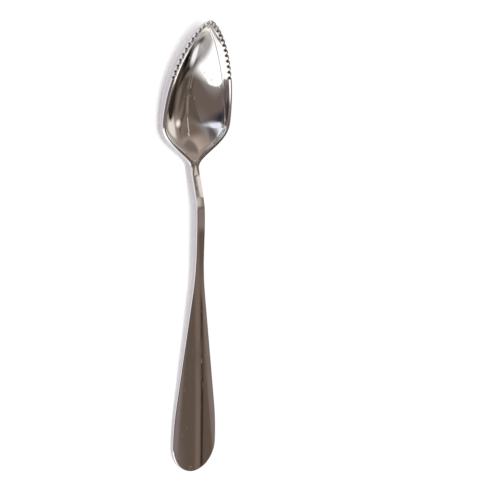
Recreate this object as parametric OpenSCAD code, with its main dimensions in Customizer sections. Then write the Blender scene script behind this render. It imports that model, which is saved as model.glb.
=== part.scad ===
// Grapefruit spoon, stamped and forged from one piece of stainless steel.
// It lies on a table at z = 0, on the belly of its bowl and on the end of its handle.
// The length runs along Y, with the tip of the bowl at +Y, and X runs across.

/* [Overall] */
// Length from the end of the handle to the tip of the bowl
overall_l = 158; // [145:1:175]

/* [Bowl] */
// Length of the bowl, from the heel where the neck meets it to the tip
bowl_l = 47.5; // [42:0.5:54]
// Width of the bowl over its rim, at its widest
bowl_w = 29.4; // [24:0.2:34]
// Height of the rim at the tip above the table
tip_h = 15.3; // [10.3:0.5:18.3]
// Height of the rim at the heel above the table
heel_h = 5; // [4.8:0.1:7]
// Thickness of the bowl's wall at the belly
wall_t = 1.2; // [0.8:0.1:1.6]
// Width of the rim's flat top
rim_w = 1.3; // [0.9:0.1:1.7]
// Thickness of the rim at the very tip
tip_t = 1.1; // [0.8:0.1:1.6]

/* [Serration] */
// Distance from one notch to the next along the rim
notch_pitch = 2.1; // [1.7:0.1:2.6]
// Width of a notch at the top of the rim
notch_w = 1.35; // [0.9:0.05:1.5]
// Depth of a notch below the top of the rim
notch_deep = 0.8; // [0.5:0.05:1.1]
// Radius at the bottom of a notch
notch_r = 0.22; // [0.1:0.02:0.3]
// Length of rim that is serrated on each side, from the tip back
serrated_l = 25.5; // [14:0.5:28]

/* [Neck] */
// Width of the neck where it is narrowest
neck_w = 3.4; // [3:0.1:5]
// Thickness of the neck at its crest
neck_t = 2.6; // [2:0.1:3.2]
// Thickness of the neck at the heel, where it grows deeper to carry the bowl
heel_t = 4.2; // [3:0.1:4.6]
// Height of the neck's top at its crest
crest_h = 8.1; // [7:0.1:14]
// Distance from the heel back to the crest
crest_back = 18; // [16:0.5:26]
// Length over which the neck flares into the widest place of the bowl
flare_l = 16; // [15:0.5:20]
// Length of neck whose underside already falls towards the belly
under_l = 6; // [4:0.5:9]

/* [Handle] */
// Width of the handle at its widest
handle_w = 18.9; // [13.9:0.5:21.9]
// Thickness of the handle
handle_t = 2; // [1.7:0.1:2.6]
// Height of the handle's top at its end, where its underside is level and rests on the table
end_h = 1.6; // [1.3:0.1:1.6]
// Length of the round end, from the widest place to the end
round_l = 10; // [7:0.5:13]
// Distance from the heel back to where the handle starts to widen
narrow_back = 32.5; // [26:0.5:38]
// Radius of the upper edges of the neck, handle and rim
edge_r = 0.3; // [0.15:0.05:0.5]

/* [Hidden] */

// Overrun of a cut past the surface that it cuts
over = 0.6;

// Where the bowl is widest and where it is deepest, as shares of its length from the heel
wide_share = 0.29;
belly_share = 0.36;
// Share of the handle's fall over which it leaves the crest
leave_share = 0.08;
// Shares of a rise that ease in and out at its ends
drop_ease_share = 0.3;
width_ease_share = 0.21;
belly_ease_share = 0.45;
handle_ease_share = 0.4;
// Shares of the half width that are flat underneath, on the bowl, neck and handle
bowl_flat_share = 0.12;
neck_flat_share = 0.25;
handle_flat_share = 0.7;

// The rim grows no wider across the spoon than this many times its own width
steepest = 2.2;
// Length of solid rim ahead of the bowl's inside, as a share of the rim's width
tip_rim_share = 0.9;
// The end stations stop this share of the rim's width short of the ends, so that their faces have a size
close_share = 0.02;
// Smallest half width of the bowl's inside, as a share of the spoon's own
least_inside_share = 0.2;
// Largest share of a thin bar's width and height that a rounded edge takes
edge_room_share = 0.33;
// How far the first row of the top stands in from the edge, in radii of the edge
row_in_share = 1.01;
// The row of notches is measured out over this many times the serrated length
row_share = 1.3;
// A notch's direction is read this share of the pitch to each side of its middle
aside_share = 0.1;

// Powers that shape the curves
point_power = 0.69;
rise_power = 1.4;
flare_power = 1.3;
flare_soft = 1.75;
front_power = 0.62;
heel_power = 2.2;
round_power = 2;
bowl_power = 2.4;
bar_power = 3.4;

// Numbers of steps
end_steps = 12;
handle_steps = 28;
neck_steps = 18;
back_steps = 18;
front_steps = 30;
side_steps = 8;
top_steps = 18;
arc_steps = 60;
notch_facets = 12;

// Places along the length
tip_y = overall_l / 2;
end_y = -overall_l / 2;
heel_y = tip_y - bowl_l;
wide_y = heel_y + wide_share * bowl_l;
belly_y = heel_y + belly_share * bowl_l;
flare_y = wide_y - flare_l;
crest_y = heel_y - crest_back;
narrow_y = heel_y - narrow_back;
pad_y = end_y + round_l;
under_y = heel_y - under_l;
cavity_tip_y = tip_y - rim_w * tip_rim_share;
close_l = rim_w * close_share;
notches = floor(serrated_l / notch_pitch);

function clamp01(u) = min(1, max(0, u));
function mix(a, b, u) = a + (b - a) * u;

// A rise from 0 to 1 that is straight in the middle and eases over the share r at each end
function ease(u, r) =
    let (v = clamp01(u), k = 1 / (1 - r))
    v < r ? k * v * v / (2 * r)
    : v > 1 - r ? 1 - k * (1 - v) * (1 - v) / (2 * r)
    : k * (v - r / 2);

// A rise from 0 to 1 that eases over the share r at its start and is straight to its end
function leave(u, r) =
    let (v = clamp01(u), k = 2 / (2 - r))
    v < r ? k * v * v / (2 * r) : k * (v - r / 2);

// A curve that leaves 0 level and reaches 1 steeply, as the front of the bowl does
function scoop(u) = 1 - pow(1 - pow(clamp01(u), 2), front_power);

// Half width of the spoon, seen from above
function handle_half(y) =
    y < pad_y
    ? handle_w / 2 * pow(1 - pow(clamp01((pad_y - y) / round_l), round_power), 1 / round_power)
    : mix(neck_w / 2, handle_w / 2, ease((narrow_y - y) / (narrow_y - pad_y), width_ease_share));
function flare_half(y) =
    mix(neck_w / 2, bowl_w / 2, pow(cos(90 * pow(clamp01((wide_y - y) / flare_l), flare_power)), flare_soft));
function front_half(y) =
    bowl_w / 2 * pow(1 - pow(clamp01((y - wide_y) / (tip_y - wide_y)), 2), point_power);
function half_w(y) = y > wide_y ? front_half(y) : y > flare_y ? flare_half(y) : handle_half(y);

// Width of the rim measured across the spoon, which grows as the outline turns towards the tip
function rim_across(y) =
    rim_w * min(steepest, norm([1, (half_w(y + close_l) - half_w(y - close_l)) / (2 * close_l)]));

// Height of the rim, and of the upper edges of the neck and handle
function rim_z(y) =
    y > heel_y ? mix(heel_h, tip_h, pow(clamp01((y - heel_y) / bowl_l), rise_power))
    : y > crest_y ? mix(heel_h, crest_h, ease((heel_y - y) / crest_back, drop_ease_share))
    : mix(crest_h, end_h, leave((crest_y - y) / (crest_y - end_y), leave_share));

// Thickness of the bar that makes the neck and handle
function bar_t(y) =
    y > crest_y ? mix(neck_t, heel_t, ease((y - crest_y) / crest_back, drop_ease_share))
    : mix(neck_t, handle_t, ease((crest_y - y) / (crest_y - pad_y), drop_ease_share));

// Height of the underside along the middle
function under_z(y) =
    y > belly_y ? (tip_h - tip_t) * scoop((y - belly_y) / (tip_y - belly_y))
    : max(0, rim_z(y) - bar_t(y)) * ease((belly_y - y) / (belly_y - under_y), belly_ease_share);

// Height of the bowl's inside along the middle, which meets the neck at the heel in a crisp edge
function floor_z(y) =
    y > belly_y ? min(rim_z(y), mix(wall_t, tip_h, scoop((y - belly_y) / (cavity_tip_y - belly_y))))
    : mix(wall_t, rim_z(y), pow(clamp01((belly_y - y) / (belly_y - heel_y)), heel_power));

// How far a place is into the bowl, and how far into the handle, from 0 to 1
function in_bowl(y) = ease((y - under_y) / (wide_y - under_y), belly_ease_share);
function in_handle(y) = ease((crest_y - y) / (crest_y - pad_y) / width_ease_share, handle_ease_share);

// One closed cross-section: the underside from left to right, then the top from right to left
function section(y) =
    let (
        w = half_w(y),
        top = rim_z(y),
        low = under_z(y),
        r = min(edge_r, edge_room_share * w, edge_room_share * (top - low)),
        bevel = r * (1 - cos(45)),
        lip = top - r,
        power = mix(bar_power, bowl_power, in_bowl(y)),
        flat_share = mix(mix(neck_flat_share, handle_flat_share, in_handle(y)), bowl_flat_share, in_bowl(y)),
        flat_w = w * flat_share,
        hollow = y > heel_y ? top - floor_z(y) : 0,
        inner = y > heel_y ? max(w - rim_across(y), least_inside_share * w) : w - r
    )
    [
        for (i = [side_steps : -1 : 0])
            let (a = 90 * i / side_steps)
            [-flat_w - (w - flat_w) * pow(sin(a), 2 / power), y, lip - (lip - low) * pow(cos(a), 2 / power)],
        for (i = [0 : side_steps])
            let (a = 90 * i / side_steps)
            [flat_w + (w - flat_w) * pow(sin(a), 2 / power), y, lip - (lip - low) * pow(cos(a), 2 / power)],
        [w - bevel, y, top - bevel],
        [w - r, y, top],
        for (i = [0 : top_steps])
            let (v = cos(180 * i / top_steps), x = v * min(inner, w - row_in_share * r))
            [x, y, top - hollow * pow(1 - pow(abs(v), bowl_power), 1 / bowl_power)],
        [-w + r, y, top],
        [-w + bevel, y, top - bevel]
    ];

// Places of the cross-sections, closer together where the outline turns quickly
stations = [
    for (i = [0 : end_steps - 1]) pad_y - (round_l - close_l) * cos(90 * i / end_steps),
    for (i = [0 : handle_steps - 1]) mix(pad_y, crest_y, i / handle_steps),
    for (i = [0 : neck_steps - 1]) mix(crest_y, heel_y, i / neck_steps),
    for (i = [0 : back_steps - 1]) mix(heel_y, belly_y, i / back_steps),
    for (i = [0 : front_steps]) mix(belly_y, tip_y - close_l, sin(90 * i / front_steps))
];

// A skin over a row of closed cross-sections that all have the same number of points
module loft(rows) {
    n = len(rows[0]);
    last = len(rows) - 1;
    points = [for (row = rows) each row];
    sides = [
        for (i = [0 : last - 1], j = [0 : n - 1])
            let (a = i * n + j, b = i * n + (j + 1) % n)
            each [[a, b, a + n], [b, b + n, a + n]]
    ];
    first_cap = [[for (j = [n - 1 : -1 : 0]) j]];
    last_cap = [[for (j = [0 : n - 1]) last * n + j]];
    polyhedron(points = points, faces = concat(sides, first_cap, last_cap), convexity = 6);
}

// Places down one side of the rim, from the tip back, with the distance along the rim to each
function rim_y(i) = tip_y - row_share * serrated_l * pow(i / arc_steps, 2);
function rim_point(y) = [half_w(y), y, rim_z(y)];
rim_table = [
    for (i = 0, far = 0; i <= arc_steps; far = far + norm(rim_point(rim_y(i + 1)) - rim_point(rim_y(i))), i = i + 1)
        [far, rim_y(i)]
];
function unit(v) = v / norm(v);

// A bar across the rim with the notch's outline: X points outwards, Y along the rim, Z up
module notch_bar() {
    reach = rim_w + notch_deep;
    hull() {
        translate([-reach, 0, notch_r - notch_deep])
            rotate([0, 90, 0])
                cylinder(h = reach + over, r = notch_r, $fn = notch_facets);
        translate([-reach, -notch_w / 2, 0])
            cube([reach + over, notch_w, over]);
    }
}

// The notches of one side; side is 1 on the right and -1 on the left
module notch_row(side) {
    for (k = [0 : notches - 1]) {
        middle = (k + 1 / 2) * notch_pitch;
        y = lookup(middle, rim_table);
        ahead = lookup(middle - aside_share * notch_pitch, rim_table);
        behind = lookup(middle + aside_share * notch_pitch, rim_table);
        along = unit(rim_point(ahead) - rim_point(behind));
        out = unit([along[1], -along[0], 0]);
        up = cross(out, along);
        at = rim_point(y);
        mirror([side < 0 ? 1 : 0, 0, 0])
            multmatrix([
                [out[0], along[0], up[0], at[0]],
                [out[1], along[1], up[1], at[1]],
                [out[2], along[2], up[2], at[2]],
                [0, 0, 0, 1]
            ])
                notch_bar();
    }
}

// The whole spoon: one skin from the end of the handle to the tip, with the front of its rim serrated
module spoon() {
    color([0.78, 0.77, 0.76])
        difference() {
            loft([for (y = stations) section(y)]);
            notch_row(1);
            notch_row(-1);
        }
}

spoon();
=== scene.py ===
"""Looks of a grapefruit spoon of polished steel that lies on a white table.

The spoon is one skin that a Geometry Nodes tree works out from named sizes. A second, finer line
along the rim gives every place its distance from the tip, and the notches of the serrated front
follow it. All lengths are in metres, and the spoon lies along Y with its tip at +Y.
"""

from __future__ import annotations

import logging
import math
from collections.abc import Mapping
from dataclasses import dataclass, field, fields
from enum import Enum
from typing import Any, Union

import bpy
from mathutils import Matrix, Vector


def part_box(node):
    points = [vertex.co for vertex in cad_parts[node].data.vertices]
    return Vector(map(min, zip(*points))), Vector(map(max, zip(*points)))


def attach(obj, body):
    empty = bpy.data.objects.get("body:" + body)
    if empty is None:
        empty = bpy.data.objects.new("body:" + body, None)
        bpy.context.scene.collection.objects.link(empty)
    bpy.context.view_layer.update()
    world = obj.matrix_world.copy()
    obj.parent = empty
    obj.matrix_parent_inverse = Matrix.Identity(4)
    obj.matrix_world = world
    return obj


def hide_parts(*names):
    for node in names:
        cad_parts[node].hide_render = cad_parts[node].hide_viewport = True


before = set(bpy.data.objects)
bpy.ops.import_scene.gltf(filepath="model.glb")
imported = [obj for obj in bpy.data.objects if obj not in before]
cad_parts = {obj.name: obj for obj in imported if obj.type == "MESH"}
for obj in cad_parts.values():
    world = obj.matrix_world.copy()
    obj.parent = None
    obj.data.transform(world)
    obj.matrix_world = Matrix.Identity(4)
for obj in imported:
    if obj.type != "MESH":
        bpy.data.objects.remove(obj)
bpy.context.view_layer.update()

MM = 0.001
LOG = logging.getLogger("spoon")
FLANK = "flank"
GROUND = "ground"
RIM_DISTANCE = "rim_distance"
Socket = bpy.types.NodeSocket
Triple = tuple[float, float, float]
WHITE = (1.0, 1.0, 1.0)


class Num:
    """A number in a node tree that takes part in Python sums, each of which adds its Math node."""

    def __init__(self, graph: "Graph", socket: Socket) -> None:
        """Keeps the socket that gives the number.

        Args:
            graph: The tree's builder.
            socket: The output socket that gives the number.
        """
        self.graph = graph
        self.socket = socket

    def __add__(self, other: "Value") -> "Num":
        """Adds two numbers."""
        return self.graph.math("ADD", self, other)

    def __radd__(self, other: "Value") -> "Num":
        """Adds with the number on the right."""
        return self.graph.math("ADD", other, self)

    def __sub__(self, other: "Value") -> "Num":
        """Takes a number away."""
        return self.graph.math("SUBTRACT", self, other)

    def __rsub__(self, other: "Value") -> "Num":
        """Takes this number away from another."""
        return self.graph.math("SUBTRACT", other, self)

    def __mul__(self, other: "Value") -> "Num":
        """Multiplies two numbers."""
        return self.graph.math("MULTIPLY", self, other)

    def __rmul__(self, other: "Value") -> "Num":
        """Multiplies with the number on the right."""
        return self.graph.math("MULTIPLY", other, self)

    def __truediv__(self, other: "Value") -> "Num":
        """Divides by a number."""
        return self.graph.math("DIVIDE", self, other)

    def __rtruediv__(self, other: "Value") -> "Num":
        """Divides another number by this one."""
        return self.graph.math("DIVIDE", other, self)

    def __pow__(self, other: "Value") -> "Num":
        """Raises to a power."""
        return self.graph.math("POWER", self, other)

    def __rpow__(self, other: "Value") -> "Num":
        """Raises another number to this power."""
        return self.graph.math("POWER", other, self)

    def __neg__(self) -> "Num":
        """Changes the sign."""
        return self.graph.math("MULTIPLY", self, -1.0)

    def __abs__(self) -> "Num":
        """Drops the sign."""
        return self.graph.math("ABSOLUTE", self)

    def __lt__(self, other: "Value") -> "Num":
        """Gives 1 where this number is the smaller one, and 0 elsewhere."""
        return self.graph.math("LESS_THAN", self, other)

    def __gt__(self, other: "Value") -> "Num":
        """Gives 1 where this number is the larger one, and 0 elsewhere."""
        return self.graph.math("GREATER_THAN", self, other)


Value = Union[Num, float, int]


class Graph:
    """Adds nodes to one tree, of a material, of the world or of Geometry Nodes."""

    def __init__(self, tree: bpy.types.NodeTree) -> None:
        """Keeps the tree.

        Args:
            tree: The node tree that nodes are added to.
        """
        self.tree = tree

    def node(
        self,
        kind: str,
        settings: Mapping[str, Any] | None = None,
        sockets: Mapping[str | int, Any] | None = None,
    ) -> bpy.types.Node:
        """Adds a node.

        Args:
            kind: The node's type.
            settings: Its properties, set first.
            sockets: A value, number or output socket for each of its inputs, by name or by place.

        Returns:
            The new node.
        """
        made = self.tree.nodes.new(kind)
        for name, value in (settings or {}).items():
            setattr(made, name, value)
        for key, value in (sockets or {}).items():
            target = made.inputs[key]
            source = value.socket if isinstance(value, Num) else value
            if isinstance(source, Socket):
                self.tree.links.new(source, target)
            else:
                target.default_value = source
        return made

    def number(self, node: bpy.types.Node, output: str | int = 0) -> Num:
        """Gives one of a node's outputs as a number."""
        return Num(self, node.outputs[output])

    def math(self, operation: str, *values: Value) -> Num:
        """Adds a Math node.

        Args:
            operation: What the node works out.
            values: Its inputs in order.

        Returns:
            The node's result.
        """
        made = self.node("ShaderNodeMath", {"operation": operation}, dict(enumerate(values)))
        return self.number(made)

    def clamp(self, value: Value) -> Num:
        """Keeps a number from 0 to 1."""
        return self.number(self.node("ShaderNodeClamp", sockets={"Value": value}))

    def least(self, first: Value, *others: Value) -> Num:
        """Gives the smallest of some numbers.

        Args:
            first: One of the numbers.
            others: The rest of them.

        Returns:
            The smallest one.
        """
        for other in others:
            first = self.math("MINIMUM", first, other)
        return first

    def largest(self, first: Value, second: Value) -> Num:
        """Gives the larger of two numbers."""
        return self.math("MAXIMUM", first, second)

    def sine(self, turn: Value) -> Num:
        """Gives the sine of a share of a quarter turn."""
        return self.math("SINE", self.math("MULTIPLY", turn, math.pi / 2))

    def cosine(self, turn: Value) -> Num:
        """Gives the cosine of a share of a quarter turn, never below 0."""
        return self.largest(self.math("COSINE", self.math("MULTIPLY", turn, math.pi / 2)), 0.0)

    def choose(self, test: Num, yes: Value, no: Value) -> Num:
        """Gives one number where a test is 1 and another where it is 0."""
        return test * yes + (1.0 - test) * no

    def smooth(self, value: Value, width: Value) -> Num:
        """Steps softly from 0 to 1.

        Args:
            value: The number that the step follows, from 0.
            width: Where the step ends.

        Returns:
            The height of the step.
        """
        made = self.node(
            "ShaderNodeMapRange",
            {"interpolation_type": "SMOOTHSTEP"},
            {"Value": value, "From Min": 0.0, "From Max": width},
        )
        return self.number(made)

    def blend(self, share: Value, low: Any, high: Any) -> Socket:
        """Goes from one colour to another.

        Args:
            share: How far to go, from 0 to 1.
            low: The first colour, a socket or three linear numbers.
            high: The last colour, given in the same way.

        Returns:
            The colour between them.
        """
        made = self.node("ShaderNodeMix", {"data_type": "RGBA"}, {0: share})
        for place, colour in ((6, low), (7, high)):
            if isinstance(colour, Socket):
                self.tree.links.new(colour, made.inputs[place])
            else:
                made.inputs[place].default_value = (*colour, 1.0)
        return made.outputs[2]

    def vector(self, x: Value, y: Value, z: Value) -> Socket:
        """Joins three numbers into a vector."""
        return self.node("ShaderNodeCombineXYZ", sockets={"X": x, "Y": y, "Z": z}).outputs[0]

    def parts(self, vector: Socket) -> tuple[Num, Num, Num]:
        """Splits a vector into its three numbers."""
        made = self.node("ShaderNodeSeparateXYZ", sockets={0: vector})
        return self.number(made, "X"), self.number(made, "Y"), self.number(made, "Z")


def mix(low: Value, high: Value, share: Value) -> Num:
    """Goes from one number to another by a share."""
    return low + (high - low) * share


def size(value: float, label: str) -> Any:
    """A dataclass field that is also a named input of the spoon's tree.

    Args:
        value: The size in metres.
        label: The input's name.

    Returns:
        The field.
    """
    return field(default=value, metadata={"label": label})


@dataclass
class Shares:
    """Numbers without a unit that shape the spoon's curves."""

    wide: float = 0.29
    belly: float = 0.36
    leave: float = 0.08
    drop_ease: float = 0.3
    width_ease: float = 0.21
    belly_ease: float = 0.45
    handle_ease: float = 0.4
    bowl_flat: float = 0.12
    neck_flat: float = 0.25
    handle_flat: float = 0.7
    tip_rim: float = 0.9
    least_inside: float = 0.2
    edge_room: float = 0.33
    steepest: float = 2.2
    point_power: float = 0.69
    rise_power: float = 1.4
    flare_power: float = 1.3
    flare_soft: float = 1.75
    front_power: float = 0.62
    heel_power: float = 2.2
    bowl_power: float = 2.4
    bar_power: float = 3.4


class Rule:
    """The spoon's shape as sums of numbers in a tree, from its inputs."""

    def __init__(self, graph: Graph, sizes: Mapping[str, Num], shares: Shares) -> None:
        """Works out the places along the length.

        Args:
            graph: The tree's builder.
            sizes: The named inputs by field name.
            shares: The numbers that shape the curves.
        """
        self.graph = graph
        self.sizes = sizes
        self.shares = shares
        bowl_l = sizes["bowl_l"]
        self.tip_y = sizes["overall_l"] / 2.0
        self.heel_y = self.tip_y - bowl_l
        self.wide_y = self.heel_y + bowl_l * shares.wide
        self.belly_y = self.heel_y + bowl_l * shares.belly
        self.flare_y = self.wide_y - sizes["flare_l"]
        self.crest_y = self.heel_y - sizes["crest_back"]
        self.narrow_y = self.heel_y - sizes["narrow_back"]
        self.pad_y = sizes["round_l"] - self.tip_y
        self.under_y = self.heel_y - sizes["under_l"]
        self.cavity_tip_y = self.tip_y - sizes["rim_w"] * shares.tip_rim

    def ease(self, share: Value, soft: float) -> Num:
        """Rises from 0 to 1, straight in the middle and eased at both ends.

        Args:
            share: How far along the rise a place is.
            soft: The share of the rise that eases at each end.

        Returns:
            The height of the rise there.
        """
        graph = self.graph
        along = graph.clamp(share)
        slope = 1.0 / (1.0 - soft)
        start = along * along * (slope / (2.0 * soft))
        left = 1.0 - along
        end = 1.0 - left * left * (slope / (2.0 * soft))
        middle = (along - soft / 2.0) * slope
        return graph.choose(along < soft, start, graph.choose(along > 1.0 - soft, end, middle))

    def leave(self, share: Value, soft: float) -> Num:
        """Rises from 0 to 1, eased at the start and straight to the end.

        Args:
            share: How far along the rise a place is.
            soft: The share of the rise that eases.

        Returns:
            The height of the rise there.
        """
        along = self.graph.clamp(share)
        slope = 2.0 / (2.0 - soft)
        start = along * along * (slope / (2.0 * soft))
        return self.graph.choose(along < soft, start, (along - soft / 2.0) * slope)

    def scoop(self, share: Value) -> Num:
        """Leaves 0 level and reaches 1 steeply, as the front of the bowl does."""
        along = self.graph.clamp(share)
        return 1.0 - (1.0 - along * along) ** self.shares.front_power

    def half_width(self, y: Num) -> Num:
        """Works out the spoon's outline.

        Args:
            y: The place along the spoon.

        Returns:
            Half the width there.
        """
        graph, sizes, shares = self.graph, self.sizes, self.shares
        neck, bowl, handle = sizes["neck_w"] / 2.0, sizes["bowl_w"] / 2.0, sizes["handle_w"] / 2.0
        back = graph.clamp((self.pad_y - y) / sizes["round_l"])
        end = handle * (1.0 - back * back) ** 0.5
        taper = self.ease((self.narrow_y - y) / (self.narrow_y - self.pad_y), shares.width_ease)
        bar = graph.choose(y < self.pad_y, end, mix(neck, handle, taper))
        turn = graph.clamp((self.wide_y - y) / sizes["flare_l"]) ** shares.flare_power
        flare = mix(neck, bowl, graph.cosine(turn) ** shares.flare_soft)
        ahead = graph.clamp((y - self.wide_y) / (self.tip_y - self.wide_y))
        front = bowl * (1.0 - ahead * ahead) ** shares.point_power
        return graph.choose(y > self.wide_y, front, graph.choose(y > self.flare_y, flare, bar))

    def rim_across(self, y: Num) -> Num:
        """Works out the rim, which takes more of the width as the outline turns towards the tip.

        Args:
            y: The place along the spoon.

        Returns:
            The rim's width straight across the spoon.
        """
        step = 0.02 * MM
        slope = (self.half_width(y + step) - self.half_width(y - step)) / (2.0 * step)
        wider = self.graph.least((1.0 + slope * slope) ** 0.5, self.shares.steepest)
        return self.sizes["rim_w"] * wider

    def rim_height(self, y: Num) -> Num:
        """Works out the rim's rise, and the arch of the neck and handle.

        Args:
            y: The place along the spoon.

        Returns:
            The height of the rim, or of the upper edges of the neck and handle.
        """
        graph, sizes, shares = self.graph, self.sizes, self.shares
        ahead = graph.clamp((y - self.heel_y) / sizes["bowl_l"]) ** shares.rise_power
        bowl = mix(sizes["heel_h"], sizes["tip_h"], ahead)
        drop = self.ease((self.heel_y - y) / sizes["crest_back"], shares.drop_ease)
        neck = mix(sizes["heel_h"], sizes["crest_h"], drop)
        fall = self.leave((self.crest_y - y) / (self.crest_y + self.tip_y), shares.leave)
        handle = mix(sizes["crest_h"], sizes["end_h"], fall)
        return graph.choose(y > self.heel_y, bowl, graph.choose(y > self.crest_y, neck, handle))

    def down_handle(self, y: Num) -> Num:
        """Goes from 0 at the neck's crest to 1 where the round end starts."""
        return (self.crest_y - y) / (self.crest_y - self.pad_y)

    def bar_thickness(self, y: Num) -> Num:
        """Works out the bar that makes the neck and handle.

        Args:
            y: The place along the spoon.

        Returns:
            Its thickness.
        """
        sizes, soft = self.sizes, self.shares.drop_ease
        dip = self.ease((y - self.crest_y) / sizes["crest_back"], soft)
        neck = mix(sizes["neck_t"], sizes["heel_t"], dip)
        handle = mix(sizes["neck_t"], sizes["handle_t"], self.ease(self.down_handle(y), soft))
        return self.graph.choose(y > self.crest_y, neck, handle)

    def under_height(self, y: Num) -> Num:
        """Works out the underside.

        Args:
            y: The place along the spoon.

        Returns:
            Its height along the middle.
        """
        sizes, shares = self.sizes, self.shares
        ahead = self.scoop((y - self.belly_y) / (self.tip_y - self.belly_y))
        front = (sizes["tip_h"] - sizes["tip_t"]) * ahead
        lift = self.ease((self.belly_y - y) / (self.belly_y - self.under_y), shares.belly_ease)
        bar = self.graph.largest(self.rim_height(y) - self.bar_thickness(y), 0.0)
        return self.graph.choose(y > self.belly_y, front, bar * lift)

    def floor_height(self, y: Num) -> Num:
        """Works out the bowl's inside.

        Args:
            y: The place along the spoon.

        Returns:
            Its height along the middle.
        """
        graph, sizes, shares = self.graph, self.sizes, self.shares
        rim = self.rim_height(y)
        ahead = self.scoop((y - self.belly_y) / (self.cavity_tip_y - self.belly_y))
        front = graph.least(rim, mix(sizes["wall_t"], sizes["tip_h"], ahead))
        behind = graph.clamp((self.belly_y - y) / (self.belly_y - self.heel_y)) ** shares.heel_power
        return graph.choose(y > self.belly_y, front, mix(sizes["wall_t"], rim, behind))

    def into_bowl(self, y: Num) -> Num:
        """Tells how far a place is into the bowl, from 0 to 1."""
        return self.ease((y - self.under_y) / (self.wide_y - self.under_y), self.shares.belly_ease)

    def into_handle(self, y: Num) -> Num:
        """Tells how far a place is into the handle, from 0 to 1."""
        return self.ease(self.down_handle(y) / self.shares.width_ease, self.shares.handle_ease)


class Run(Enum):
    """Stretches of the skin, along the spoon or round half a section, each with its two ends."""

    ROUND_END = (0.0, 0.05)
    HANDLE = (0.05, 0.2)
    NECK = (0.2, 0.31)
    HEEL = (0.31, 0.44)
    FRONT = (0.44, 1.0)
    FLAT = (0.0, 0.06)
    SIDE = (0.06, 0.4)
    OUTER_EDGE = (0.4, 0.48)
    RIM = (0.48, 0.54)
    INNER_EDGE = (0.54, 0.6)
    INSIDE = (0.6, 1.0)

    def share(self, graph: Graph, place: Num) -> Num:
        """Goes from 0 to 1 over this stretch.

        Args:
            graph: The tree's builder.
            place: The place along the skin or round the section.

        Returns:
            The share of the stretch that is done.
        """
        start, end = self.value
        return graph.clamp((place - start) / (end - start))


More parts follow.
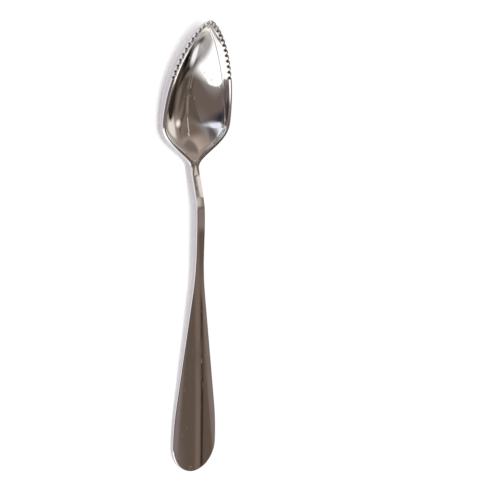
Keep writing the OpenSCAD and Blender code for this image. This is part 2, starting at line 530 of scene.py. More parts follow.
@dataclass
class Spoon:
    """The whole spoon, from its round end to the serrated tip of its bowl."""

    overall_l: float = size(158 * MM, "Length")
    bowl_l: float = size(47.5 * MM, "Bowl length")
    bowl_w: float = size(29.4 * MM, "Bowl width")
    tip_h: float = size(15.3 * MM, "Tip height")
    heel_h: float = size(5 * MM, "Heel height")
    wall_t: float = size(1.2 * MM, "Wall thickness")
    rim_w: float = size(1.3 * MM, "Rim width")
    tip_t: float = size(1.1 * MM, "Tip thickness")
    neck_w: float = size(3.4 * MM, "Neck width")
    neck_t: float = size(2.6 * MM, "Neck thickness")
    heel_t: float = size(4.2 * MM, "Heel thickness")
    crest_h: float = size(8.1 * MM, "Crest height")
    crest_back: float = size(18 * MM, "Crest distance")
    flare_l: float = size(16 * MM, "Flare length")
    under_l: float = size(6 * MM, "Underside run")
    handle_w: float = size(18.9 * MM, "Handle width")
    handle_t: float = size(2 * MM, "Handle thickness")
    end_h: float = size(1.6 * MM, "End height")
    round_l: float = size(10 * MM, "Round end length")
    narrow_back: float = size(32.5 * MM, "Taper distance")
    edge_r: float = size(0.3 * MM, "Edge radius")
    rim_crown: float = size(0.12 * MM, "Rim crown")
    notch_pitch: float = size(2.1 * MM, "Notch pitch")
    notch_w: float = size(1.35 * MM, "Notch width")
    notch_deep: float = size(0.8 * MM, "Notch depth")
    notch_r: float = size(0.22 * MM, "Notch radius")
    serrated_l: float = size(25.5 * MM, "Serrated length")
    shares: Shares = field(default_factory=Shares)
    flank_from: float = 0.15
    flank_to: float = 0.41
    flank_rise: float = 0.088
    flank_fall: float = 0.022
    ground_soft: float = 0.35 * MM
    stations: int = 520
    ring_points: int = 181
    rim_points: int = 4000
    weld: float = 0.0001 * MM
    sharp_angle: float = math.radians(38)

    def inputs(self) -> dict[str, str]:
        """Gives each size's field name and the name of its input."""
        return {f.name: f.metadata["label"] for f in fields(self) if "label" in f.metadata}

    def build(self, name: str, finish: bpy.types.Material) -> bpy.types.Object:
        """Makes the spoon as one plain mesh.

        Args:
            name: The new object's name.
            finish: The material that the tree sets.

        Returns:
            The object, at the origin with its place in its mesh.
        """
        tree = bpy.data.node_groups.new("spoon_skin", "GeometryNodeTree")
        tree.interface.new_socket(name="Mesh", in_out="OUTPUT", socket_type="NodeSocketGeometry")
        for label in self.inputs().values():
            tree.interface.new_socket(name=label, in_out="INPUT", socket_type="NodeSocketFloat")
        self._grow(tree, finish)
        blank = bpy.data.meshes.new(name + "_seed")
        seed = bpy.data.objects.new(name + "_seed", blank)
        bpy.context.scene.collection.objects.link(seed)
        modifier = seed.modifiers.new("skin", "NODES")
        modifier.node_group = tree
        entries = [item for item in tree.interface.items_tree if item.in_out == "INPUT"]
        by_label = {item.name: item.identifier for item in entries}
        for field_name, label in self.inputs().items():
            modifier[by_label[label]] = getattr(self, field_name)
        depsgraph = bpy.context.evaluated_depsgraph_get()
        mesh = bpy.data.meshes.new_from_object(seed.evaluated_get(depsgraph), depsgraph=depsgraph)
        mesh.name = name
        seed.modifiers.remove(modifier)
        bpy.data.objects.remove(seed)
        bpy.data.meshes.remove(blank)
        spoon = bpy.data.objects.new(name, mesh)
        bpy.context.scene.collection.objects.link(spoon)
        return spoon

    def _grow(self, tree: bpy.types.NodeTree, finish: bpy.types.Material) -> None:
        """Fills the tree that makes the skin.

        Args:
            tree: The Geometry Nodes tree with its inputs in place.
            finish: The material that it sets at its end.
        """
        graph = Graph(tree)
        entry = graph.node("NodeGroupInput")
        sizes = {key: graph.number(entry, label) for key, label in self.inputs().items()}
        rule = Rule(graph, sizes, self.shares)
        grid = graph.node(
            "GeometryNodeMeshGrid",
            sockets={
                "Size X": 1.0,
                "Size Y": 1.0,
                "Vertices X": self.stations,
                "Vertices Y": self.ring_points,
            },
        )
        place_x, place_y, _ = graph.parts(graph.node("GeometryNodeInputPosition").outputs[0])
        marked = self._mark(graph, grid.outputs["Mesh"], FLANK, self._flank(graph, place_y + 0.5))
        skin = self._skin(graph, rule, place_x + 0.5, place_y + 0.5)
        shaped = self._moved(graph, marked, skin)
        place, cut = self._notched(graph, rule)
        ground = self._mark(graph, shaped, GROUND, cut)
        notched = self._moved(graph, ground, place)
        welded = graph.node(
            "GeometryNodeMergeByDistance", sockets={"Geometry": notched, "Distance": self.weld}
        )
        faces = graph.node("GeometryNodeSetShadeSmooth", {"domain": "FACE"}, {0: welded.outputs[0]})
        angle = graph.number(graph.node("GeometryNodeInputMeshEdgeAngle"), "Unsigned Angle")
        sharp = angle > self.sharp_angle
        edges = graph.node(
            "GeometryNodeSetShadeSmooth",
            {"domain": "EDGE"},
            {"Geometry": faces.outputs[0], "Selection": sharp, "Shade Smooth": False},
        )
        real = graph.node("GeometryNodeRealizeInstances", sockets={0: edges.outputs[0]})
        dressed = graph.node(
            "GeometryNodeSetMaterial", sockets={"Geometry": real.outputs[0], "Material": finish}
        )
        graph.node("NodeGroupOutput", sockets={0: dressed.outputs[0]})

    @staticmethod
    def _moved(graph: Graph, shape: Socket, place: Socket) -> Socket:
        """Moves each point of a shape to its place."""
        sockets = {"Geometry": shape, "Position": place}
        return graph.node("GeometryNodeSetPosition", sockets=sockets).outputs[0]

    @staticmethod
    def _mark(graph: Graph, shape: Socket, name: str, value: Num) -> Socket:
        """Gives each point of a shape a number that later nodes and the material read.

        Args:
            graph: The tree's builder.
            shape: The shape.
            name: The mark's name.
            value: The number at each point.

        Returns:
            The marked shape.
        """
        made = graph.node(
            "GeometryNodeStoreNamedAttribute",
            {"data_type": "FLOAT", "domain": "POINT"},
            {"Geometry": shape, "Name": name, "Value": value},
        )
        return made.outputs[0]

    def _flank(self, graph: Graph, around: Num) -> Num:
        """Marks with 1 the blanked sides, which get painted shade, and with 0 the polished top,
        underside and edges.

        Args:
            graph: The tree's builder.
            around: From 0 to 1 once round the section, starting under the middle.

        Returns:
            The mark.
        """
        half = 1.0 - abs(around * 2.0 - 1.0)
        rise = graph.smooth(half - self.flank_from, self.flank_rise)
        return rise * graph.smooth(self.flank_to - half, self.flank_fall)

    def _station(self, graph: Graph, rule: Rule, along: Num) -> Num:
        """Gives the place along the spoon of each section, close together at the two ends.

        Args:
            graph: The tree's builder.
            rule: The spoon's shape.
            along: From 0 at the round end to 1 at the tip.

        Returns:
            The place in Y.
        """
        return (
            rule.pad_y
            - rule.sizes["round_l"] * graph.cosine(Run.ROUND_END.share(graph, along))
            + (rule.crest_y - rule.pad_y) * Run.HANDLE.share(graph, along)
            + (rule.heel_y - rule.crest_y) * Run.NECK.share(graph, along)
            + (rule.wide_y - rule.heel_y) * Run.HEEL.share(graph, along)
            + (rule.tip_y - rule.wide_y) * graph.sine(Run.FRONT.share(graph, along))
        )

    def _skin(self, graph: Graph, rule: Rule, along: Num, around: Num) -> Socket:
        """Gives each point of the skin its place, before the notches.

        Args:
            graph: The tree's builder.
            rule: The spoon's shape.
            along: From 0 at the round end to 1 at the tip.
            around: From 0 to 1 once round the section, starting under the middle.

        Returns:
            The points' places.
        """
        sizes, shares = rule.sizes, self.shares
        y = self._station(graph, rule, along)
        closed = (along > 0.0) * (along < 1.0)
        wide = rule.half_width(y) * closed
        top, low = rule.rim_height(y), rule.under_height(y)
        bowl, in_bowl = rule.into_bowl(y), y > rule.heel_y
        edge = graph.least(sizes["edge_r"], wide * shares.edge_room, (top - low) * shares.edge_room)
        hollow = (top - rule.floor_height(y)) * in_bowl
        inside = graph.largest(wide - rule.rim_across(y), wide * shares.least_inside)
        inner = graph.choose(in_bowl, inside, wide - edge)
        inner_edge = graph.least(edge, hollow * shares.edge_room)
        power = mix(shares.bar_power, shares.bowl_power, bowl)
        bar_flat = mix(shares.neck_flat, shares.handle_flat, rule.into_handle(y))
        flat = mix(bar_flat, shares.bowl_flat, bowl) * wide

        half = 1.0 - abs(around * 2.0 - 1.0)
        side = graph.choose(around < 0.5, 1.0, -1.0)
        up_side = Run.SIDE.share(graph, half)
        over_edge = Run.OUTER_EDGE.share(graph, half)
        into_edge = Run.INNER_EDGE.share(graph, half)
        over_rim = Run.RIM.share(graph, half)
        across = graph.cosine(Run.INSIDE.share(graph, half))
        crown = sizes["rim_crown"] * bowl
        dip = (1.0 - across**shares.bowl_power) ** (1.0 / shares.bowl_power)
        x = (
            flat * Run.FLAT.share(graph, half)
            + (wide - flat) * graph.sine(up_side) ** (2.0 / power)
            - edge * (1.0 - graph.cosine(over_edge))
            - (wide - edge - inner - inner_edge) * over_rim
            - inner_edge * graph.sine(into_edge)
            - inner * (1.0 - across)
        )
        z = (
            low
            + (top - crown - edge - low) * (1.0 - graph.cosine(up_side) ** (2.0 / power))
            + edge * graph.sine(over_edge)
            + crown * over_rim * (1.0 - over_rim) * 4.0
            - inner_edge * (1.0 - graph.cosine(into_edge))
            - (hollow - inner_edge - crown) * dip
        )
        return graph.vector(x * side, y, z)

    def _rim_line(self, graph: Graph, rule: Rule) -> Socket:
        """Makes a fine row of points down one side of the rim, each with its distance from the tip.

        Args:
            graph: The tree's builder.
            rule: The spoon's shape.

        Returns:
            The row of points, marked with the distance.
        """
        line = graph.node("GeometryNodeMeshLine", sockets={"Count": self.rim_points})
        index = graph.number(graph.node("GeometryNodeInputIndex"))
        y = rule.wide_y + (rule.tip_y - rule.wide_y) * graph.cosine(index / (self.rim_points - 1.0))
        rim = graph.vector(rule.half_width(y), y, rule.rim_height(y))
        placed = self._moved(graph, line.outputs[0], rim)
        curve = graph.node("GeometryNodeMeshToCurve", sockets={0: placed})
        length = graph.number(graph.node("GeometryNodeSplineParameter"), "Length")
        marked = self._mark(graph, curve.outputs[0], RIM_DISTANCE, length)
        points = graph.node("GeometryNodeCurveToPoints", {"mode": "EVALUATED"}, {0: marked})
        return points.outputs[0]

    def _notched(self, graph: Graph, rule: Rule) -> tuple[Socket, Num]:
        """Lowers the points of the rim into the notches of its serrated front.

        Args:
            graph: The tree's builder.
            rule: The spoon's shape.

        Returns:
            The points' new places, and a mark that is 1 where the wheel ground a notch.
        """
        sizes = rule.sizes
        rim = self._rim_line(graph, rule)
        x, y, z = graph.parts(graph.node("GeometryNodeInputPosition").outputs[0])
        nearest = graph.node(
            "GeometryNodeSampleNearest",
            {"domain": "POINT"},
            {"Geometry": rim, "Sample Position": graph.vector(abs(x), y, z)},
        )
        distance_field = graph.node(
            "GeometryNodeInputNamedAttribute", {"data_type": "FLOAT"}, {"Name": RIM_DISTANCE}
        )
        distance = graph.number(
            graph.node(
                "GeometryNodeSampleIndex",
                {"data_type": "FLOAT", "domain": "POINT"},
                {"Geometry": rim, "Value": distance_field.outputs[0], "Index": nearest.outputs[0]},
            )
        )
        rim_z = rule.rim_height(y)
        pitch, half_w = sizes["notch_pitch"], sizes["notch_w"] / 2.0
        count = graph.math("FLOOR", sizes["serrated_l"] / pitch)
        turn = distance / pitch
        aside = abs(turn - graph.math("FLOOR", turn) - 0.5) * pitch
        centre = sizes["notch_deep"] - sizes["notch_r"]
        reach = (half_w * half_w + centre * centre) ** 0.5
        steep = graph.math("ARCTAN2", centre, half_w)
        lean = steep + graph.math("ARCSINE", sizes["notch_r"] / reach)
        wall = (half_w - aside) * graph.math("TANGENT", lean)
        rounded = graph.math("SMOOTH_MIN", wall, sizes["notch_deep"], sizes["notch_r"])
        deep = graph.math("SMOOTH_MAX", rounded, 0.0, sizes["notch_r"]) * (turn < count)
        cut = graph.smooth(z - rim_z + deep, self.ground_soft)
        return graph.vector(x, y, graph.least(z, rim_z - deep)), cut

    @staticmethod
    def dress(spoon: bpy.types.Object) -> None:
        """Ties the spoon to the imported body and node.

        Args:
            spoon: The finished piece.
        """
        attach(spoon, "root")
        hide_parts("spoon")


@dataclass(frozen=True)
class PolishedSteel:
    """Mirror-polished stainless steel with smudges, fine scratches and small pits from use, and
    painted shade.
    """

    colour: Triple = (0.9, 0.888, 0.872)
    smudge_colour: Triple = (0.86, 0.845, 0.83)
    pit_colour: Triple = (0.42, 0.4, 0.38)
    # Painted shade: a lavender grey that stands for the table's shadow mirrored in the sides.
    flank_painted_shade: Triple = (0.53, 0.495, 0.53)
    roughness: float = 0.013
    smudge_roughness: float = 0.012
    scratch_roughness: float = 0.04
    pit_roughness: float = 0.3
    flank_roughness: float = 0.08
    # Painted shade: the ground notches of the rim are darkened, besides being rougher.
    ground_notch_painted_shade: Triple = (0.46, 0.44, 0.42)
    ground_roughness: float = 0.1
    glint_roughness: float = 0.42
    bump_strength: float = 0.12
    bump_depth: float = 0.01 * MM
    smudge_scale: float = 90.0
    smudge_detail: float = 3.0
    smudge_from: float = 0.5
    smudge_soft: float = 0.25
    scratch_scale: float = 2600.0
    scratch_stretch: float = 0.03
    scratch_detail: float = 2.0
    scratch_from: float = 0.6
    scratch_soft: float = 0.12
    scratch_depth: float = 0.02
    pit_scale: float = 420.0
    pit_size: float = 0.11
    pit_soft: float = 0.05
    pit_share: float = 0.02
    glint_scale: float = 1100.0
    glint_stretch: float = 0.22
    glint_size: float = 0.3
    glint_soft: float = 0.15
    worn_detail: float = 1.0
    worn_from: float = 0.46
    worn_soft: float = 0.12
    glint_share: float = 0.16

    def material(self, name: str) -> bpy.types.Material:
        """Makes the material.

        Args:
            name: The material's name.

        Returns:
            The material.
        """
        made = bpy.data.materials.new(name)
        made.use_nodes = True
        made.node_tree.nodes.clear()
        graph = Graph(made.node_tree)
        place = graph.node("ShaderNodeTexCoord").outputs["Object"]
        smudge = self._smudge(graph, place)
        scratch = self._scratch(graph, place)
        pit = self._pit(graph, place)
        glint = self._glint(graph, place)
        flank, ground = self._marked(graph, FLANK), self._marked(graph, GROUND)
        colour = graph.blend(smudge, self.colour, self.smudge_colour)
        colour = graph.blend(pit, colour, self.pit_colour)
        # The sides get painted shade, the table's shadow as the steel would mirror it; their added
        # roughness is real.
        colour = graph.blend(flank, colour, self.flank_painted_shade)
        # Painted shade darkens the ground notches; the roughness added below is their ground
        # finish.
        colour = graph.blend(ground, colour, self.ground_notch_painted_shade)
        roughness = (
            self.roughness
            + smudge * self.smudge_roughness
            + scratch * self.scratch_roughness
            + pit * self.pit_roughness
            + flank * self.flank_roughness
            + ground * self.ground_roughness
            + glint * self.glint_roughness
        )
        bump = graph.node(
            "ShaderNodeBump",
            sockets={
                "Strength": self.bump_strength,
                "Distance": self.bump_depth,
                "Height": -(scratch * self.scratch_depth + pit),
            },
        )
        shader = graph.node(
            "ShaderNodeBsdfPrincipled",
            sockets={
                "Base Color": colour,
                "Metallic": 1.0,
                "Roughness": roughness,
                "Normal": bump.outputs[0],
            },
        )
        graph.node("ShaderNodeOutputMaterial", sockets={"Surface": shader.outputs[0]})
        return made

    @staticmethod
    def _marked(graph: Graph, name: str) -> Num:
        """Reads one of the spoon's marks."""
        return graph.number(graph.node("ShaderNodeAttribute", {"attribute_name": name}), "Fac")

    @staticmethod
    def _stretched(graph: Graph, place: Socket, along: float) -> Socket:
        """Draws a pattern out along the spoon."""
        sockets = {0: place, 1: (1.0, along, 1.0)}
        return graph.node("ShaderNodeVectorMath", {"operation": "MULTIPLY"}, sockets).outputs[0]

    @staticmethod
    def _cloud(graph: Graph, place: Socket, scale: float, detail: float) -> Num:
        """Gives soft noise."""
        sockets = {"Vector": place, "Scale": scale, "Detail": detail}
        return graph.number(graph.node("ShaderNodeTexNoise", sockets=sockets))

    @staticmethod
    def _spots(
        graph: Graph, place: Socket, scale: float, spot: float, soft: float, share: float
    ) -> Num:
        """Gives scattered spots.

        Args:
            graph: The material's builder.
            place: Where the pattern is read.
            scale: How close together the cells are.
            spot: A spot's reach in its cell.
            soft: The width of its soft edge.
            share: The share of the cells that have a spot.

        Returns:
            1 in a spot and 0 outside.
        """
        sockets = {"Vector": place, "Scale": scale, "Randomness": 1.0}
        cells = graph.node("ShaderNodeTexVoronoi", {"feature": "F1"}, sockets)
        chance, _, _ = graph.parts(cells.outputs["Color"])
        return graph.smooth(spot - graph.number(cells, "Distance"), soft) * (chance < share)

    def _smudge(self, graph: Graph, place: Socket) -> Num:
        """Gives the thin film that fingers leave, from 0 to 1."""
        cloud = self._cloud(graph, place, self.smudge_scale, self.smudge_detail)
        return graph.smooth(cloud - self.smudge_from, self.smudge_soft)

    def _scratch(self, graph: Graph, place: Socket) -> Num:
        """Gives the fine polishing scratches along the spoon.

        Args:
            graph: The material's builder.
            place: Where the pattern is read.

        Returns:
            0 on clean steel and 1 in a scratch.
        """
        along = self._stretched(graph, place, self.scratch_stretch)
        cloud = self._cloud(graph, along, self.scratch_scale, self.scratch_detail)
        return graph.smooth(cloud - self.scratch_from, self.scratch_soft)

    def _pit(self, graph: Graph, place: Socket) -> Num:
        """Gives the few small pits, from 0 to 1."""
        return self._spots(
            graph, place, self.pit_scale, self.pit_size, self.pit_soft, self.pit_share
        )

    def _glint(self, graph: Graph, place: Socket) -> Num:
        """Gives the short bright nicks along the spoon, in a few worn patches.

        Args:
            graph: The material's builder.
            place: Where the pattern is read.

        Returns:
            0 on clean steel and 1 in a nick.
        """
        along = self._stretched(graph, place, self.glint_stretch)
        cloud = self._cloud(graph, place, self.smudge_scale, self.worn_detail)
        worn = graph.smooth(cloud - self.worn_from, self.worn_soft)
        return self._spots(
            graph, along, self.glint_scale, self.glint_size, self.glint_soft, self.glint_share
        ) * worn


@dataclass(frozen=True)
class Camera:
    """The camera of the photograph, which looks down from the left of the spoon."""

    eye: Triple = (-295.0 * MM, 54.9 * MM, 387.8 * MM)
    aim: Triple = (25.9 * MM, -1.8 * MM, 3.0 * MM)
    roll: float = -0.009
    focal_px: float = 1397.7
    frame_px: float = 500.0
    sensor: float = 36.0
    nearest: float = 0.01
    farthest: float = 20.0

    def place(self) -> None:
        """Makes the camera and gives it to the scene."""
        data = bpy.data.cameras.new("camera")
        data.sensor_fit = "HORIZONTAL"
        data.sensor_width = self.sensor
        data.lens = self.sensor * self.focal_px / self.frame_px
        data.clip_start = self.nearest
        data.clip_end = self.farthest
        camera = bpy.data.objects.new("camera", data)
        bpy.context.scene.collection.objects.link(camera)
        eye, aim = Vector(self.eye), Vector(self.aim)
        ahead = (aim - eye).normalized()
        right = ahead.cross(Vector((0.0, 1.0, 0.0))).normalized()
        upward = right.cross(ahead)
        turned = right * math.cos(self.roll) + upward * math.sin(self.roll)
        raised = upward * math.cos(self.roll) - right * math.sin(self.roll)
        rows = Matrix((turned, raised, -ahead)).transposed().to_4x4()
        camera.matrix_world = Matrix.Translation(eye) @ rows
        bpy.context.scene.camera = camera


def shown(red: int, green: int, blue: int) -> Triple:
    """Gives the linear colour that a screen shows with these values from 0 to 255.

    Args:
        red: The first value.
        green: The second value.
        blue: The third value.

    Returns:
        The linear colour.
    """

    def linear(value: int) -> float:
        """Straightens one channel."""
        share = value / 255.0
        return share / 12.92 if share <= 0.04045 else ((share + 0.055) / 1.055) ** 2.4

    return linear(red), linear(green), linear(blue)


@dataclass(frozen=True)
class Edge:
    """One side of a panel of the studio, in a plane that shows the sky as a disc.

    Straight up is at (0, 0), the horizon is the circle of radius 1, and the first number points
    along X. The side passes through `at`, and the panel lies beyond it in the direction `toward`,
    in degrees. `bend` curves the side, and `fan` softens it more from one end to the other.
    """

    at: tuple[float, float]
    toward: float
    soft: float
    bend: float = 0.0
    fan: float = 0.0

    def share(self, graph: Graph, east: Num, north: Num) -> Num:
        """Tells how far a direction is inside this side.

        Args:
            graph: The world's builder.
            east: The direction's first number.
            north: The direction's second number.

        Returns:
            0 outside and 1 inside, with a soft step between.
        """
        turn = math.radians(self.toward)
        right, ahead = east - self.at[0], north - self.at[1]
        deep = right * math.cos(turn) + ahead * math.sin(turn)
        along = ahead * math.cos(turn) - right * math.sin(turn)
        if self.bend:
            deep = deep - along * along * self.bend
        soft = graph.largest(along * self.fan + self.soft, self.soft) if self.fan else self.soft
        return graph.smooth(deep, soft)


@dataclass(frozen=True)
class Oval:
    """A round panel, in the same plane, with its two half lengths and the turn of the first."""

    at: tuple[float, float]
    half: tuple[float, float]
    turn: float
    soft: float

    def share(self, graph: Graph, east: Num, north: Num) -> Num:
        """Tells how far a direction is inside the oval.

        Args:
            graph: The world's builder.
            east: The direction's first number.
            north: The direction's second number.

        Returns:
            0 outside and 1 inside, with a soft step between.
        """
        turn = math.radians(self.turn)
        right, ahead = east - self.at[0], north - self.at[1]
        first = (right * math.cos(turn) + ahead * math.sin(turn)) / self.half[0]
        second = (ahead * math.cos(turn) - right * math.sin(turn)) / self.half[1]
        return graph.smooth(1.0 - (first * first + second * second) ** 0.5, self.soft)


@dataclass(frozen=True)
class Panel:
    """A board, cloth or soft box of the studio that the steel mirrors."""

    label: str
    colour: tuple[int, int, int]
    outline: tuple[Union[Edge, Oval], ...]

    def over(self, graph: Graph, below: Any, east: Num, north: Num) -> Socket:
        """Lays the panel over what is behind it.

        Args:
            graph: The world's builder.
            below: The colour behind the panel.
            east: The direction's first number.
            north: The direction's second number.

        Returns:
            The colour with the panel in place.
        """
        share: Value = 1.0
        for side in self.outline:
            share = side.share(graph, east, north) * share
        return graph.blend(share, below, shown(*self.colour))


def between(low: float, low_soft: float, high: float, high_soft: float) -> tuple[Edge, Edge]:
    """Gives the two ends of a narrow panel that runs along Y."""
    return Edge((0.0, low), 90.0, low_soft), Edge((0.0, high), -90.0, high_soft)


# The 32 panels of the bowl were placed by hand and then fitted by a separate program, so that their
# reflections lie as in the photograph. The 9 narrow ones, of the neck and handle, were set one by
# one.
PANELS = (
    Panel("far_wall", (106, 96, 96), (Edge((-0.538, -0.107), 186.0, 0.153, bend=-0.13),)),
    Panel("tan_top", (111, 102, 100), (Oval((0.334, 0.07), (0.405, 0.134), 8.6, 0.79),)),
    Panel("olive", (93, 81, 72), (Oval((0.345, -0.045), (0.08, 0.219), 28.6, 0.25),)),
    Panel("window", (228, 233, 243), (Edge((-0.316, -0.034), 93.2, 0.057, bend=0.29, fan=1.0),)),
    Panel("dusk", (135, 127, 130), (
        Edge((-0.107, 0.146), 81.9, 0.011, bend=-0.22, fan=-0.13),
        Edge((-0.167, 0.059), 44.8, 0.243, bend=1.03),
    )),
    Panel("brown_top", (110, 95, 86), (Edge((0.067, 0.311), 40.4, 0.09, bend=-0.12, fan=0.06),)),
    Panel("rose_side", (167, 155, 145), (
        Edge((0.298, 0.09), -12.1, 0.292, bend=0.09, fan=0.09),
        Edge((0.689, -0.056), 87.6, 0.029, fan=0.36),
    )),
    Panel("cream", (226, 218, 212), (Oval((0.6, 0.104), (0.125, 0.164), 25.9, 0.38),)),
    Panel("curtain", (155, 147, 146), (Oval((-0.865, 0.287), (0.491, 0.105), -16.5, 0.19),)),
    Panel("navy", (43, 45, 60), (Oval((-0.427, -0.071), (0.695, 0.077), 11.6, 0.89),)),
    Panel("navy_side", (49, 45, 52), (Oval((-0.887, -0.048), (0.156, 0.259), 30.4, 0.28),)),
    Panel("dark_corner", (91, 88, 88), (Oval((0.005, 0.353), (0.368, 0.11), -60.3, 0.54),)),
    Panel("rim_line", (104, 80, 64), (Oval((0.057, 0.396), (0.249, 0.012), 119.7, 0.97),)),
    Panel("arch_line", (195, 176, 166), (
        Edge((0.528, 0.0), 83.6, 0.099, bend=0.73, fan=0.65),
        Edge((0.397, 0.184), 113.8, 0.053, bend=0.22, fan=0.27),
    )),
    Panel("arch", (115, 105, 98), (
        Edge((0.338, 0.203), 39.8, 0.034, bend=-0.28, fan=-0.03),
        Edge((0.373, 0.195), 103.0, 0.023, bend=-0.02, fan=-0.33),
    )),
    Panel("heel", (151, 134, 125), (Edge((0.368, 0.261), 78.8, 0.035, bend=1.06, fan=-0.26),)),
    Panel("streak_dark", (87, 75, 65), (Oval((0.359, -0.026), (0.023, 0.292), -18.3, 0.55),)),
    Panel("streak_pale", (112, 102, 95), (Oval((0.387, 0.0), (0.016, 0.109), -11.9, 0.92),)),
    Panel("streak_mid", (78, 69, 58), (Oval((0.386, -0.162), (0.03, 0.285), -18.3, 0.95),)),
    Panel("streak_side", (116, 108, 98), (Oval((0.474, -0.079), (0.039, 0.2), -11.9, 0.95),)),
    Panel("spot", (253, 243, 232), (Oval((0.437, 0.089), (0.052, 0.049), -8.5, 0.93),)),
    Panel("grey_board", (167, 163, 161), (
        Edge((0.487, -0.194), -118.5, 0.261, bend=0.73, fan=0.17),
        Edge((0.577, -0.486), 206.7, 0.111, bend=0.97, fan=0.5),
    )),
    Panel("rose_board", (187, 181, 177), (
        Edge((0.123, -0.681), -78.1, 0.122, bend=-0.65, fan=-0.21),
    )),
    Panel("beige_board", (211, 201, 192), (Oval((0.324, -0.882), (0.418, 0.149), 22.9, 0.92),)),
    Panel("olive_gap", (38, 31, 25), (Oval((0.425, -0.26), (0.33, 0.05), 40.5, 1.0),)),
    Panel("low_side", (193, 194, 197), (Oval((0.742, -0.622), (0.67, 0.081), -12.7, 0.62),)),
    Panel("low_dark", (80, 76, 73), (Oval((0.422, -0.603), (0.268, 0.145), 34.3, 0.99),)),
    Panel("brown_side", (43, 36, 31), (
        Edge((0.486, -0.095), 18.8, 0.107, bend=-0.5, fan=0.65),
        Edge((0.643, 0.05), 250.0, 0.04, bend=1.18, fan=-0.43),
        Edge((0.687, -0.534), 170.8, 0.239, bend=-0.96, fan=0.25),
    )),
    Panel("lilac", (133, 120, 116), (Oval((0.79, -0.492), (0.368, 0.101), 14.9, 0.74),)),
    Panel("black_cloth", (8, 8, 14), (Oval((0.56, -0.36), (0.288, 0.138), -54.8, 0.9),)),
    Panel("strip_lamp", (246, 247, 252), (Oval((0.402, -0.417), (0.161, 0.058), -76.4, 0.68),)),
    Panel("soft_box", (272, 273, 274), (
        Edge((-0.047, -0.223), -80.8, 0.021, bend=0.22, fan=0.51),
        Edge((0.245, -0.365), 124.9, 0.077, bend=-0.48, fan=0.32),
    )),
    Panel("handle_shade", (92, 79, 70), (
        Edge((0.3325, -0.18), 0.0, 0.006),
        Edge((0.352, -0.18), 180.0, 0.004),
        *between(-0.235, 0.01, -0.135, 0.02),
    )),
    Panel("left_band", (124, 114, 112), (
        Edge((0.3374, -0.189), 173.2, 0.0014),
        Edge((0.325, -0.189), 0.0, 0.004),
        *between(-0.235, 0.01, -0.14, 0.02),
    )),
    Panel("right_band", (124, 112, 105), (
        Edge((0.3472, -0.185), 2.3, 0.0012),
        Edge((0.356, -0.189), 180.0, 0.004),
        *between(-0.235, 0.01, -0.13, 0.02),
    )),
    Panel("rose_band", (114, 98, 88), (
        Edge((0.343, -0.15), 0.0, 0.0008, bend=-0.54),
        Edge((0.3458, -0.15), 180.0, 0.0006, bend=0.54),
        *between(-0.235, 0.01, -0.1, 0.02),
    )),
    Panel("dark_line", (44, 33, 25), (
        Edge((0.3453, -0.15), 0.0, 0.0005, bend=-0.54),
        Edge((0.3468, -0.15), 180.0, 0.0006, bend=0.54),
        *between(-0.218, 0.004, -0.142, 0.012),
    )),
    Panel("crest_shade", (128, 115, 110), (
        Edge((0.333, -0.05), 0.0, 0.004),
        Edge((0.35, -0.05), 180.0, 0.004),
        *between(-0.12, 0.03, 0.03, 0.03),
    )),
    Panel("neck_shade", (114, 100, 92), (
        Edge((0.3492, 0.165), -4.3, 0.0008),
        Edge((0.3531, 0.175), 175.7, 0.0005),
        *between(0.135, 0.03, 0.2, 0.008),
    )),
    Panel("neck_pale", (198, 188, 180), (
        Edge((0.3384, 0.0), 0.0, 0.0005, bend=0.39),
        Edge((0.3417, 0.0), 180.0, 0.0005, bend=-0.39),
        *between(0.02, 0.05, 0.178, 0.02),
    )),
    Panel("neck_edge", (222, 214, 210), (
        Edge((0.3524, 0.175), 0.0, 0.0008),
        Edge((0.3575, 0.175), 180.0, 0.002),
        *between(0.165, 0.006, 0.195, 0.01),
    )),
)


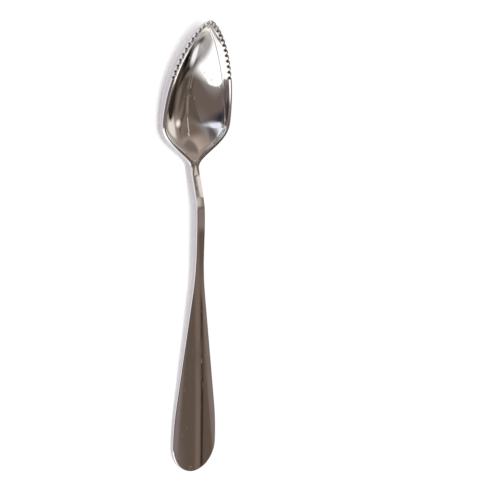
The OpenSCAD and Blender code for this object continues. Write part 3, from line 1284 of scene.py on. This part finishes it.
@dataclass
class Studio:
    """A white table under a soft lamp, with the panels that the steel mirrors."""

    table_size: float = 4.0
    table_colour: Triple = (0.82, 0.82, 0.82)
    table_margin: float = 0.04
    wall_colour: tuple[int, int, int] = (102, 90, 84)
    fill: Triple = (0.4, 0.38, 0.4)
    lamp_level: float = 0.6
    lamp_colour: Triple = (0.93, 1.0, 0.94)
    lamp_radius: float = 0.2
    lamp_place: Triple = (-0.43, 0.03, 1.0)
    horizon: float = 0.97
    horizon_soft: float = 0.12
    mirror_gain: float = 1.12
    least_lift: float = 0.05

    def build(self) -> None:
        """Makes the table, the lamp and the world."""
        self._table()
        self._lamp()
        self._world()

    @staticmethod
    def _rays(graph: Graph) -> list[Num]:
        """Tells rays apart.

        Args:
            graph: The builder of a material or of the world.

        Returns:
            1 for rays from the camera, 1 for rays off gloss, and 1 for rays through glass.
        """
        path = graph.node("ShaderNodeLightPath")
        kinds = ("Is Camera Ray", "Is Glossy Ray", "Is Transmission Ray")
        return [graph.number(path, kind) for kind in kinds]

    def _table(self) -> None:
        """Makes the white table, which glows by what its light leaves short of white."""
        half = self.table_size / 2.0
        mesh = bpy.data.meshes.new("table")
        corners = [(-half, -half, 0), (half, -half, 0), (half, half, 0), (-half, half, 0)]
        mesh.from_pydata(corners, [], [(0, 1, 2, 3)])
        table = bpy.data.objects.new("table", mesh)
        bpy.context.scene.collection.objects.link(table)
        made = bpy.data.materials.new("white_table")
        made.use_nodes = True
        made.node_tree.nodes.clear()
        graph = Graph(made.node_tree)
        tints = zip(self.table_colour, self.fill, self.lamp_colour)
        white = 1.0 + self.table_margin
        short = [white - own * (fill + self.lamp_level * tint) for own, fill, tint in tints]
        diffuse = graph.node("ShaderNodeBsdfDiffuse", sockets={"Color": (*self.table_colour, 1.0)})
        camera, gloss, glass = self._rays(graph)
        seen = graph.clamp(camera + gloss + glass)
        glow = graph.node("ShaderNodeEmission", sockets={"Color": (*short, 1.0), "Strength": seen})
        layers = {0: diffuse.outputs[0], 1: glow.outputs[0]}
        both = graph.node("ShaderNodeAddShader", sockets=layers)
        graph.node("ShaderNodeOutputMaterial", sockets={"Surface": both.outputs[0]})
        mesh.materials.append(made)

    def _lamp(self) -> None:
        """Hangs the soft lamp over the spoon, as bright all over the table as its level says."""
        place = Vector(self.lamp_place)
        distance = place.length
        data = bpy.data.lights.new("soft_lamp", "SUN")
        data.angle = 2.0 * math.atan(self.lamp_radius / distance)
        data.energy = self.lamp_level * math.pi * distance / place.z
        data.color = self.lamp_colour
        lamp = bpy.data.objects.new("soft_lamp", data)
        bpy.context.scene.collection.objects.link(lamp)
        turned = place.to_track_quat("Z", "Y").to_matrix().to_4x4()
        lamp.matrix_world = Matrix.Translation(place) @ turned
        lamp.visible_glossy = False

    def _world(self) -> None:
        """Makes the surroundings: white to the camera, panels to gloss, soft light to the rest."""
        world = bpy.data.worlds.new("studio")
        bpy.context.scene.world = world
        world.use_nodes = True
        world.node_tree.nodes.clear()
        graph = Graph(world.node_tree)
        x, y, z = graph.parts(graph.node("ShaderNodeTexCoord").outputs["Generated"])
        lift = graph.largest(z + 1.0, self.least_lift)
        east, north = x / lift, y / lift
        colour: Any = shown(*self.wall_colour)
        for panel in PANELS:
            colour = panel.over(graph, colour, east, north)
        far = graph.smooth((east * east + north * north) ** 0.5 - self.horizon, self.horizon_soft)
        colour = graph.blend(far, colour, WHITE)
        gain = graph.node(
            "ShaderNodeVectorMath", {"operation": "SCALE"}, {0: colour, "Scale": self.mirror_gain}
        )
        camera, gloss, glass = self._rays(graph)
        light = graph.blend(gloss, self.fill, gain.outputs[0])
        shade = graph.blend(graph.clamp(camera + glass), light, WHITE)
        sky = graph.node("ShaderNodeBackground", sockets={"Color": shade, "Strength": 1.0})
        graph.node("ShaderNodeOutputWorld", sockets={"Surface": sky.outputs[0]})


def main() -> None:
    """Builds the spoon, its table and light, and the camera."""
    logging.basicConfig(level=logging.INFO, format="%(name)s: %(message)s")
    low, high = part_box("spoon")
    steel = PolishedSteel().material("polished_steel")
    shape = Spoon(overall_l=high.y - low.y, bowl_w=high.x - low.x, tip_h=high.z - low.z)
    spoon = shape.build("grapefruit_spoon", steel)
    shape.dress(spoon)
    LOG.info("spoon: %d faces", len(spoon.data.polygons))
    Studio().build()
    Camera().place()
    bpy.context.scene.view_settings.view_transform = "Standard"


if __name__ == "__main__":
    main()
